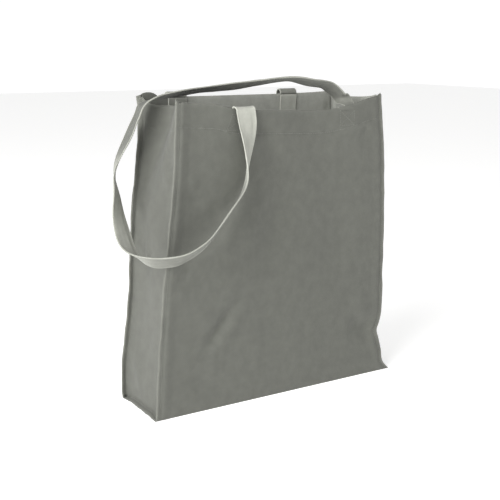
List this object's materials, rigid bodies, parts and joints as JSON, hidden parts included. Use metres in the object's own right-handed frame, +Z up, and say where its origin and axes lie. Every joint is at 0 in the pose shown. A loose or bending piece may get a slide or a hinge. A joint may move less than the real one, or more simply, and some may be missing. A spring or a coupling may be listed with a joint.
{
  "type": "non-woven shopping tote bag",
  "caption": "Open-top cloth tote bag with side gussets and long strap handles, standing open, with one handle hanging behind and the other lying round a corner and across the mouth.",
  "frame": {"origin": "middle of the underside of the bottom, on the surface that the bag stands on", "axes": "+Z up out of the open mouth, +X along the long side towards the right gusset, and the front panel faces -Y"},
  "size_m": [0.4178, 0.1811, 0.4157],
  "materials": {
    "cloth": "matt spunbond polypropylene, embossed with fine points",
    "strap": "folded spunbond polypropylene, slight sheen",
    "thread": "twisted polyester sewing thread"
  },
  "bodies": {
    "bag": {"front_panel": "cloth", "back_panel": "cloth", "bottom_panel": "cloth", "left_gusset": "cloth", "right_gusset": "cloth", "front_hem": "cloth", "back_hem": "cloth", "left_hem": "cloth", "right_hem": "cloth", "front_left_seam": "cloth", "front_right_seam": "cloth", "back_left_seam": "cloth", "back_right_seam": "cloth", "bottom_left_seam": "cloth", "bottom_right_seam": "cloth", "front_handle_left_end": "strap", "front_handle_right_end": "strap", "front_handle_run": "strap", "back_handle_left_end": "strap", "back_handle_right_end": "strap", "front_left_seam_stitching": "thread", "front_right_seam_stitching": "thread", "back_left_seam_stitching": "thread", "back_right_seam_stitching": "thread", "bottom_left_seam_stitching": "thread", "bottom_right_seam_stitching": "thread", "front_hem_stitching": "thread", "back_hem_stitching": "thread", "left_hem_stitching": "thread", "right_hem_stitching": "thread", "front_left_box_stitch": "thread", "front_right_box_stitch": "thread", "back_left_box_stitch": "thread", "back_right_box_stitch": "thread"},
    "front_handle": {"front_handle_loop": "strap"},
    "back_handle": {"back_handle_loop": "strap"}
  },
  "joints": [
    {"name": "front_handle_swing", "type": "hinge", "parent": "bag", "child": "front_handle", "pos_m": [-0.083, -0.06021, 0.3702], "axis": [-0.7845, 0.6157, 0.0745], "range_deg": [0, 100]},
    {"name": "back_handle_swing", "type": "hinge", "parent": "bag", "child": "back_handle", "pos_m": [-0.008, 0.053, 0.396], "axis": [1, 0, 0], "range_deg": [0, 175]}
  ]
}
